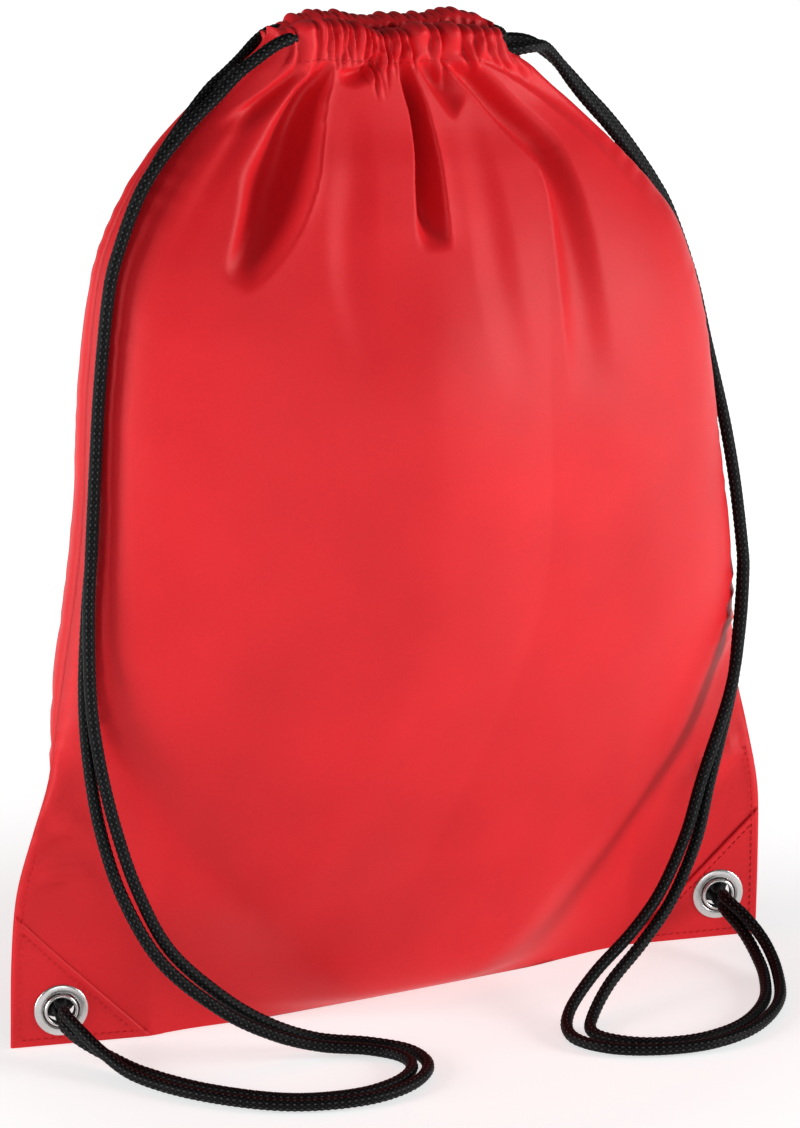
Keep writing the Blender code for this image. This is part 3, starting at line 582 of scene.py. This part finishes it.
# Each strap is two strands side by side: the middle of the pair and the half step from it to
# the front strand, in millimetres
STRAPS = {
    "left": (
        ((-44.0, 0.0, 416.5), (0.0, -9.2, 0.0)),
        ((-50.0, -1.2, 416.6), (0.0, -10.4, 0.8)),
        ((-57.0, -3.0, 414.4), (0.0, -9.6, 1.5)),
        ((-65.0, -5.0, 409.8), (0.0, -7.2, 1.4)),
        ((-73.0, -7.0, 405.2), (0.1, -4.6, 0.6)),
        ((-82.0, -8.4, 398.6), (0.1, -3.4, -0.6)),
        ((-91.5, -10.4, 391.0), (-0.3, -2.8, -0.3)),
        ((-100.3, -11.0, 382.0), (-0.7, -2.7, 0.2)),
        ((-108.8, -12.0, 372.2), (-1.0, -2.6, 0.8)),
        ((-117.0, -12.5, 360.0), (-1.2, -2.6, 0.8)),
        ((-125.0, -13.0, 341.5), (-1.2, -2.6, 0.5)),
        ((-130.0, -13.5, 324.5), (-1.2, -2.6, 0.3)),
        ((-135.0, -14.5, 287.5), (-1.2, -2.6, 0.0)),
        ((-137.8, -14.5, 251.0), (-1.2, -2.6, 0.0)),
        ((-140.6, -15.5, 216.0), (-1.2, -2.6, 0.0)),
        ((-143.0, -17.0, 194.0), (-0.8, -2.8, 0.0)),
        ((-145.3, -20.5, 161.0), (0.2, -3.0, 0.3)),
        ((-144.6, -24.5, 134.0), (1.4, -2.5, 0.6)),
        ((-140.5, -28.0, 105.5), (2.6, -1.6, 1.0)),
        ((-133.5, -33.5, 78.0), (2.8, -0.8, 1.5)),
        ((-121.0, -39.5, 51.5), (2.2, 0.8, 2.0)),
        ((-99.0, -44.5, 29.0), (1.4, 2.2, 1.9)),
        ((-78.0, -46.5, 14.5), (0.8, 3.4, 1.0)),
        ((-57.5, -48.5, 5.6), (0.8, 3.3, 0.3)),
        ((-38.0, -56.5, 3.2), (2.2, 2.4, 0.0)),
        ((-27.5, -69.5, 3.0), (3.2, 1.2, 0.0)),
        ((-28.5, -84.0, 3.0), (3.1, -1.2, 0.0)),
        ((-42.0, -96.0, 3.0), (1.6, -2.7, 0.0)),
        ((-64.0, -100.0, 3.0), (0.2, -3.0, 0.0)),
        ((-92.0, -91.5, 3.0), (-1.4, -2.6, 0.0)),
        ((-117.5, -68.5, 3.0), (-2.3, -1.9, 0.0)),
        ((-134.0, -43.0, 3.6), (-2.6, -1.4, 0.3)),
        ((-142.0, -26.5, 7.2), (-2.2, -0.9, 1.8)),
        ((-148.4, -13.5, 12.2), (-0.7, 0.0, 2.8)),
        ((-150.9, -4.5, 15.2), (0.0, 0.0, 2.8)),
        ((-149.74, 1.0, 15.5), (0.0, 0.0, 2.75)),
    ),
    "right": (
        ((44.0, 0.0, 403.0), (0.0, -8.2, 0.0)),
        ((50.0, 0.0, 402.5), (0.0, -8.8, 0.0)),
        ((57.5, 1.0, 402.6), (0.0, -9.4, 0.2)),
        ((66.5, 3.5, 400.6), (0.0, -6.2, 0.2)),
        ((76.0, 6.0, 393.2), (-0.5, -3.8, -0.3)),
        ((84.5, 7.0, 383.6), (-1.0, -2.9, -0.7)),
        ((92.0, 7.5, 375.0), (-1.2, -2.7, -0.8)),
        ((102.5, 8.0, 363.6), (-1.3, -2.6, -0.9)),
        ((114.2, 9.5, 349.5), (-1.3, -2.6, -0.8)),
        ((125.5, 11.0, 334.2), (-1.3, -2.6, -0.6)),
        ((134.0, 11.5, 319.5), (-1.3, -2.6, -0.4)),
        ((143.4, 8.5, 291.2), (-1.3, -2.6, -0.2)),
        ((148.0, 3.0, 264.0), (-1.2, -2.6, 0.0)),
        ((151.6, -2.5, 241.0), (-1.2, -2.6, 0.0)),
        ((153.2, -7.0, 225.0), (-1.2, -2.6, 0.0)),
        ((154.6, -11.5, 206.0), (-1.2, -2.6, 0.0)),
        ((157.2, -13.5, 181.0), (-1.2, -2.6, 0.0)),
        ((157.4, -15.0, 168.0), (-1.2, -2.6, 0.0)),
        ((153.8, -19.0, 144.0), (-1.2, -2.6, 0.0)),
        ((147.0, -24.5, 118.5), (-1.7, -2.3, 0.3)),
        ((131.5, -32.0, 83.0), (-2.5, -0.9, 1.2)),
        ((121.5, -38.0, 61.0), (-2.6, 0.2, 1.5)),
        ((106.5, -44.5, 40.0), (-2.2, 0.9, 1.9)),
        ((89.0, -52.0, 27.0), (-1.7, 1.8, 1.9)),
        ((67.5, -60.5, 15.0), (-2.4, 2.8, 1.4)),
        ((52.5, -70.5, 5.6), (-4.2, 2.6, 0.6)),
        ((46.5, -83.0, 3.0), (-4.8, 0.0, 0.0)),
        ((52.0, -97.0, 3.0), (-3.2, -2.6, 0.0)),
        ((67.0, -107.5, 3.0), (-1.0, -3.0, 0.0)),
        ((89.0, -112.0, 3.0), (0.3, -3.0, 0.0)),
        ((112.0, -106.0, 3.0), (1.4, -2.7, 0.0)),
        ((133.0, -88.5, 3.0), (2.4, -1.9, 0.0)),
        ((146.0, -66.0, 4.0), (2.8, -0.9, 0.2)),
        ((151.5, -47.0, 8.5), (2.5, -0.2, 1.6)),
        ((151.0, -33.5, 14.8), (0.9, 0.0, 2.8)),
        ((148.7, -22.5, 19.5), (0.0, 0.0, 2.8)),
        ((150.05, -15.75, 20.0), (0.0, 0.0, 2.75)),
    ),
}
LEVELS = {"left": 0.4126, "right": 0.4069}     # of each cord inside the hem, at the middle
HEM_HALF = 0.042                               # half the held length along X
LOOP_NEAR = 0.0437                             # where the loop meets its strap
HEM_MIDDLE = (0.0104, 0.0022)                  # from the seam plane, and how much less at the ends


def hem_middle(x):
    return HEM_MIDDLE[0] - HEM_MIDDLE[1] * (x / HEM_HALF) ** 2


def neck_loop(side, level):
    """A cord's held middle: in through the front hem, round the far end and back."""
    end = hem_middle(HEM_HALF)
    places = [(side * LOOP_NEAR, -end), (side * HEM_HALF, -end)]
    places += [(side * s * HEM_HALF, -hem_middle(s * HEM_HALF)) for s in (0.5, 0.0, -0.5)]
    places.append((-side * HEM_HALF, -end))
    for k in range(1, 6):
        angle = math.pi * k / 6
        places.append((-side * (HEM_HALF + 0.0005 + 0.5 * end * math.sin(angle)),
                       -end * math.cos(angle)))
    places.append((-side * HEM_HALF, end))
    places += [(side * s * HEM_HALF, hem_middle(s * HEM_HALF)) for s in (-0.5, 0.0, 0.5)]
    places += [(side * HEM_HALF, end), (side * LOOP_NEAR, end)]
    return [Vector((x, y, level + NECK_TILT * x)) for x, y in places]


def even_route(knots, spacing):
    """Evenly spaced points on a smooth curve through the knots, as an array."""
    knots = np.array([tuple(k) for k in knots])
    before = np.vstack([2 * knots[0] - knots[1], knots[:-1]])
    after = np.vstack([knots[2:], 2 * knots[-1] - knots[-2]])
    p0, p1, p2, p3 = before[:-1], knots[:-1], knots[1:], after
    u = np.linspace(0, 1, 33)[:-1][None, :, None]
    p0, p1, p2, p3 = (p[:, None, :] for p in (p0, p1, p2, p3))
    dense = 0.5 * (2 * p1 + (p2 - p0) * u + (2 * p0 - 5 * p1 + 4 * p2 - p3) * u**2
                   + (3 * p1 - 3 * p2 + p3 - p0) * u**3)
    dense = np.vstack([dense.reshape(-1, 3), knots[-1:]])
    length = np.concatenate([[0], np.cumsum(np.linalg.norm(np.diff(dense, axis=0), axis=1))])
    even = np.linspace(0, length[-1], max(4, round(length[-1] / spacing)) + 1)
    return np.stack([np.interp(even, length, dense[:, k]) for k in range(3)], axis=1)


YARNS = 8                 # yarns that turn each way round the braid
BRAID_TURN = 0.0215       # length in which one yarn goes once round
YARN_RISE = 0.00030
CORD_STEP = 0.00072       # between the rings of a cord, and of a knot's strand
KNOT_STEP = 0.0007
PAIR_HALF = 0.00275       # half the distance between two strands in an eyelet
BEHIND = -0.0065          # where a knot starts, behind the eyelet's middle


def braided_tube(name, route, ring=32, start_turn=0.0):
    """A cord with the yarns of its braid standing up, closed at both ends."""
    count = len(route)
    ahead = np.gradient(route, axis=0)
    ahead /= np.linalg.norm(ahead, axis=1)[:, None]
    across = np.zeros_like(route)
    first = np.cross(ahead[0], (0.3, 0.1, 1.0))
    across[0] = first / np.linalg.norm(first)
    for k in range(1, count):
        carried = across[k - 1] - ahead[k] * (across[k - 1] @ ahead[k])
        across[k] = carried / np.linalg.norm(carried)
    third = np.cross(ahead, across)
    run = np.concatenate([[0], np.cumsum(np.linalg.norm(np.diff(route, axis=0), axis=1))])
    angle = np.arange(ring + 1) / ring * math.tau
    turn = angle[None, :] / math.tau
    a = YARNS * (turn + run[:, None] / BRAID_TURN) + start_turn
    b = YARNS * (turn - run[:, None] / BRAID_TURN) + start_turn
    over = (np.floor(a) + np.floor(b)) % 2 < 0.5
    rounded_a = np.abs(np.sin(math.pi * a))
    rounded_b = np.abs(np.sin(math.pi * b))
    high = np.where(over, rounded_a, 0.75 * rounded_b) * (0.55 + 0.45 * rounded_a * rounded_b)
    radius = CORD / 2 - YARN_RISE + YARN_RISE * 1.3 * high
    cap = np.clip(np.minimum(run, run[-1] - run) / (0.35 * CORD), 0, 1)
    radius *= np.sqrt(np.maximum(0.02, cap * (2 - cap)))[:, None]
    places = (route[:, None, :] + across[:, None, :] * (radius * np.cos(angle))[..., None]
              + third[:, None, :] * (radius * np.sin(angle))[..., None])
    bm = grid_mesh(ring + 1, count)
    for vert, place in zip(bm.verts, places.reshape(-1, 3)):
        vert.co = place
    # The yarns' heights, kept for the cord's painted glints and painted shade
    painted_yarn_glint = bm.verts.layers.float.new("painted_yarn_glint")
    for vert, value in zip(bm.verts, high.reshape(-1)):
        vert[painted_yarn_glint] = value
    bmesh.ops.remove_doubles(bm, verts=bm.verts, dist=1e-6)
    rims = [e for e in bm.edges if e.is_boundary]
    bmesh.ops.holes_fill(bm, edges=rims, sides=0)
    bmesh.ops.recalc_face_normals(bm, faces=bm.faces)
    return new_piece(name, bm, CORD_BLACK)


def strap_points(strap, way):
    return [(Vector(place) + way * Vector(step)) * MM for place, step in strap]


def knot_route(side_name, up):
    """One strand's way behind the eyelet: back through it, once round the pair and out."""
    place = corner_frame(CORNERS[side_name])
    way = 1 if up > 0 else -1
    points = [(0.0, up, 0.0040), (0.0, up, BEHIND)]
    for k in range(11):
        angle = way * math.pi / 2 + math.radians(36) * k
        around = 0.0050 + 0.0024 * math.sin(math.pi * k / 10)
        points.append((around * math.cos(angle), around * math.sin(angle),
                       BEHIND - 0.0035 - 0.0072 * math.sin(math.pi * k / 12)))
    points += [(0.0018, way * 0.0034, BEHIND - 0.0150), (0.0030, way * 0.0030, BEHIND - 0.0215),
               (0.0042, way * 0.0036 - 0.0035, BEHIND - 0.0275)]
    return [place @ Vector(p) for p in points]


for side_name, corner in CORNERS.items():
    front = strap_points(STRAPS[side_name], 1)
    back = strap_points(STRAPS[side_name], -1)
    loop = neck_loop(corner["side"], LEVELS[side_name])
    knots = front[::-1][:-1] + loop[1:-1] + back[1:]
    route = even_route(knots, CORD_STEP)
    cord = braided_tube(side_name + "_cord", route)
    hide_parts(*(f"{side_name}_cord_{part}"
                        for part in ("front_strand", "back_strand", "neck_loop")))
    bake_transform(cord)
    tied = [braided_tube(f"{side_name}_knot_{way}",
                         even_route(knot_route(side_name, up), KNOT_STEP), start_turn=0.5)
            for way, up in (("upper", PAIR_HALF), ("lower", -PAIR_HALF))]
    for strand in tied:
        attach(strand, side_name + "_knot_body")
    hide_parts(side_name + "_knot")


# ---------------------------------------------------------------- eyelets
def ring_of(name, profile, place, steps=72):
    """A ring turned from a closed profile of (radius, forward), in millimetres."""
    bm = bmesh.new()
    verts = [bm.verts.new((r * MM, 0, h * MM)) for r, h in profile]
    edges = [bm.edges.new((a, b)) for a, b in zip(verts, verts[1:] + verts[:1])]
    bmesh.ops.spin(bm, geom=verts + edges, cent=(0, 0, 0), axis=(0, 0, 1), angle=math.tau,
                   steps=steps, use_merge=True)
    bmesh.ops.remove_doubles(bm, verts=bm.verts, dist=1e-6)
    bmesh.ops.recalc_face_normals(bm, faces=bm.faces)
    bmesh.ops.transform(bm, matrix=place, verts=bm.verts)
    return new_piece(name, bm, NICKEL)


def rounded(profile, rounds=2):
    """The profile with its corners cut, twice over, so it turns into smooth metal."""
    points = np.array(profile, float)
    for _ in range(rounds):
        after = np.roll(points, -1, axis=0)
        points = np.stack([0.75 * points + 0.25 * after, 0.25 * points + 0.75 * after],
                          axis=1).reshape(-1, 2)
    return [tuple(p) for p in points]


# Closed outlines of the two rings: (radius, forward of the cloth), in millimetres
WASHER = ((11.3, 0.95), (11.3, 1.55), (10.7, 2.0), (8.9, 2.15), (7.9, 1.95), (7.5, 1.35),
          (7.5, 1.1), (10.6, 1.1))
GROMMET = ((7.25, 1.75), (6.9, 2.55), (6.3, 2.85), (5.75, 2.5), (5.6, 1.8), (5.6, -1.3),
           (6.2, -1.9), (10.7, -1.75), (11.2, -1.35), (11.2, -1.0), (10.4, -1.15), (6.7, -1.2),
           (6.05, -0.7), (6.05, 1.5), (6.2, 2.1), (6.6, 1.9), (6.9, 1.6))
for side_name, corner in CORNERS.items():
    place = corner_frame(corner)
    washer = ring_of(side_name + "_eyelet_front_ring", rounded(WASHER), place)
    grommet = ring_of(side_name + "_eyelet_barrel", rounded(GROMMET), place)
    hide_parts(side_name + "_eyelet_washer")
    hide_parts(side_name + "_eyelet_grommet")
    for part in (washer, grommet):
        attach(part, "root")


# ---------------------------------------------------------------- corner patches and seams
PATCH_LEG = 0.058         # along the bottom and up the side
PATCH_ROWS = 41
PATCH_OFF = 0.00055       # from the cloth's outer face to the patch's
PATCH_FOLD = 0.0004       # how much more its turned edge stands off
PATCH_CLOTH = 0.0004
CORNER_GAP = 0.0004       # from the bag's edges to the patch
SEAM_REACH = 0.007        # how far the seam's allowance runs in


def outwards(corner, face):
    """The direction a corner's cloth faces, away from the bag."""
    side, turn = corner["side"], corner["turn"]
    return np.array([side * math.sin(turn), -math.cos(turn), 0]) * -face["facing"]


def patch_point(corner, face, along_bottom, up_side, off):
    """A place on the cloth at distances from the corner along the bottom and up the side."""
    across = corner["side"] * (1 - along_bottom / HALF_WIDTH)
    place = bag_point(across, up_side, face)
    return place + np.asarray(off)[..., None] * outwards(corner, face)


def make_patch(side_name, corner, face, word):
    """A folded triangle of the same cloth over the corner, its long edge turned under."""
    steps = np.linspace(0, 1, PATCH_ROWS)
    a, b = np.meshgrid(steps, steps, indexing="ij")
    fold = smooth((a - 0.93) / 0.03) * (1 - 0.9 * smooth((a - 0.985) / 0.015))
    places = patch_point(corner, face, PATCH_LEG * a * (1 - b) + CORNER_GAP,
                         PATCH_LEG * a * b + CORNER_GAP, PATCH_OFF + PATCH_FOLD * fold)
    flip = corner["side"] * face["facing"] > 0
    patch = grid_piece(f"{side_name}_{word}_patch", places, BAG_RED, flip, PATCH_CLOTH)
    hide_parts(f"{side_name}_{word}_corner_patch")
    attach(patch, "root")


def make_seam(side_name, side):
    """The turned-in allowance along a side, with its cut edge inside the bag."""
    heights = np.concatenate([np.linspace(0.0004, 0.30, 90), np.linspace(0.304, 0.395, 40)])
    strip = []
    for reach in np.linspace(0, SEAM_REACH, 5):
        x = side * (half_width(heights) - reach) + lean(heights)
        z = heights + neck_drop(x, heights)
        y = 0.00025 * np.sin(heights * 700 + reach * 300)
        x, y = turned(x, y + 0.0002, heights)
        strip.append(np.stack([x, y, z], axis=-1))
    seam = grid_piece(side_name + "_side_seam_tape", np.array(strip), SEAM_RED, side > 0, CLOTH)
    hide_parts(side_name + "_side_seam")
    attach(seam, "root")


STITCH = 0.0021           # length of one stitch
STITCH_GAP = 0.0009
STITCH_SIZE = (STITCH / 2, 0.00030, 0.00024)    # its half sizes: along, across, out
STITCH_LIFT = 0.00002


def stitches(name, lines, body):
    """Short raised stitches along lines of (place, outward) arrays."""
    bm = bmesh.new()
    for places, outward in lines:
        run = np.concatenate([[0], np.cumsum(np.linalg.norm(np.diff(places, axis=0), axis=1))])
        for start in np.arange(STITCH_GAP, run[-1] - STITCH, STITCH + STITCH_GAP):
            ends = [Vector([np.interp(at, run, places[:, k]) for k in range(3)])
                    for at in (start, start + STITCH)]
            out = Vector([np.interp(start, run, outward[:, k]) for k in range(3)]).normalized()
            along_stitch = (ends[1] - ends[0]).normalized()
            side = out.cross(along_stitch)
            turn = Matrix((along_stitch, side, out)).transposed().to_4x4()
            turn.translation = (ends[0] + ends[1]) / 2 + out * STITCH_LIFT
            size = Matrix.Diagonal((*STITCH_SIZE, 1))
            bmesh.ops.create_uvsphere(bm, u_segments=6, v_segments=4, radius=1,
                                      matrix=turn @ size @ Matrix.Rotation(math.pi / 2, 4, "Y"))
    piece = new_piece(name, bm, THREAD_RED)
    if body == "hem":
        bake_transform(piece)
    else:
        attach(piece, body)


def patch_line(corner, face, ends, off):
    """A stitch line on a patch between two (along the bottom, up the side) places."""
    (a0, b0), (a1, b1) = ends
    t = np.linspace(0, 1, 40)
    places = patch_point(corner, face, a0 + (a1 - a0) * t, b0 + (b1 - b0) * t, off)
    return places, np.tile(outwards(corner, face), (len(places), 1))


EDGE = 0.0032             # from a patch's sides to their stitches
LONG_EDGE = 0.004         # from its long edge to the fold under it
SIDE_STITCHES = 0.03      # how far the side's stitches run on above the patch
LINE_OFF = 0.0008         # from the cloth's outer face to the stitches
HEM_SINK = 0.00016        # how far the hem's stitches are drawn into its cloth
for side_name, corner in CORNERS.items():
    lines = []
    for face, word in ((FRONT, "front"), (BACK, "back")):
        make_patch(side_name, corner, face, word)
        leg = PATCH_LEG - LONG_EDGE
        lines += [patch_line(corner, face, ends, LINE_OFF) for ends in
                  (((EDGE, EDGE), (EDGE, PATCH_LEG + SIDE_STITCHES)),
                   ((EDGE, EDGE), (PATCH_LEG, EDGE)),
                   ((EDGE, leg - EDGE), (leg - EDGE, EDGE)))]
    stitches(side_name + "_corner_stitching", lines, "root")
    make_seam(side_name, corner["side"])

hem_lines = []
for face in (FRONT, BACK):
    across = np.linspace(-0.97, 0.97, 260)
    line = bag_point(across, np.full_like(across, HEM_STITCH), face)
    line[:, 1] -= face["facing"] * HEM_SINK
    hem_lines.append((line, np.tile((0, face["facing"], 0.0), (len(line), 1))))
stitches("hem_stitching", hem_lines, "hem")

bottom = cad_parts["bottom_seam"]
bottom.data.materials.clear()
bottom.data.materials.append(SEAM_RED)


# ---------------------------------------------------------------- floor, light and camera
# How the floor glows by its distance from the middle, in metres
FLOOR_GLOW = {"From Min": 0.16, "From Max": 0.55, "To Min": 0.62, "To Max": 1.0}
FLOOR_HALF = 8.0
FLOOR_DROP = 0.0002       # keeps it clear of the bag's underside


def studio_floor():
    """A white sweep that glows by itself away from the bag, so it stays white to its edge."""
    bm = bmesh.new()
    bmesh.ops.create_grid(bm, x_segments=1, y_segments=1, size=FLOOR_HALF)
    bmesh.ops.translate(bm, vec=(0, 0, -FLOOR_DROP), verts=bm.verts)
    made, tree, shader = new_finish("studio_floor", Roughness=0.9, Specular_IOR_Level=0.0,
                                    Base_Color=(0.57, 0.60, 0.60, 1),
                                    Emission_Color=(1, 1, 1, 1))
    place = node(tree, "ShaderNodeTexCoord", (-900, 0))
    away = node(tree, "ShaderNodeVectorMath", (-700, 0), operation="LENGTH")
    glow = node(tree, "ShaderNodeMapRange", (-500, 0))
    for name, value in FLOOR_GLOW.items():
        glow.inputs[name].default_value = value
    tree.links.new(place.outputs["Object"], away.inputs[0])
    tree.links.new(away.outputs["Value"], glow.inputs["Value"])
    tree.links.new(glow.outputs["Result"], shader.inputs["Emission Strength"])
    floor = new_piece("studio_floor", bm, made)


def softbox(name, place, aim, size, power):
    light = bpy.data.lights.new(name, "AREA")
    light.shape = "RECTANGLE"
    light.size, light.size_y = size
    light.energy = power
    lamp = bpy.data.objects.new(name, light)
    bpy.context.scene.collection.objects.link(lamp)
    lamp.location = place
    lamp.rotation_euler = (Vector(aim) - Vector(place)).to_track_quat("-Z", "Y").to_euler()


studio_floor()
softbox("key_right", (1.70, -1.25, 0.62), (0, 0, 0.2), (0.7, 0.8), 32)
softbox("side_left", (-2.1, 0.20, 0.6), (0, 0, 0.2), (0.7, 1.2), 32)
softbox("front", (-0.5, -2.4, 0.60), (0, 0, 0.2), (1.0, 0.9), 10)
softbox("top", (0.1, 0.3, 2.2), (0, 0, 0.1), (1.4, 1.4), 1.5)
world = bpy.data.worlds.new("studio")
bpy.context.scene.world = world
world.use_nodes = True
world.node_tree.nodes["Background"].inputs["Color"].default_value = (1, 1, 1, 1)
world.node_tree.nodes["Background"].inputs["Strength"].default_value = 0.085
bpy.context.scene.view_settings.view_transform = "Standard"

VIEW_TURN = math.radians(-26.0)
VIEW_RISE = math.radians(18.5)
VIEW_DISTANCE = 2.2
VIEW_ASIDE, VIEW_HEIGHT = 0.0030, 0.1894       # the place the camera looks at
LENS = 170.6              # in millimetres, on a sensor 36 wide
aside = Vector((math.cos(VIEW_TURN), math.sin(VIEW_TURN), 0))
towards = Vector((math.sin(VIEW_TURN) * math.cos(VIEW_RISE),
                  -math.cos(VIEW_TURN) * math.cos(VIEW_RISE), math.sin(VIEW_RISE)))
camera = bpy.data.objects.new("camera", bpy.data.cameras.new("camera"))
bpy.context.scene.collection.objects.link(camera)
camera.data.lens = LENS
camera.data.sensor_width = 36
camera.location = (aside * VIEW_ASIDE + Vector((0, 0, VIEW_HEIGHT))
                   + towards * VIEW_DISTANCE)
camera.rotation_euler = Matrix((aside, towards.cross(aside), towards)).transposed().to_euler()
bpy.context.scene.camera = camera

bpy.context.view_layer.update()
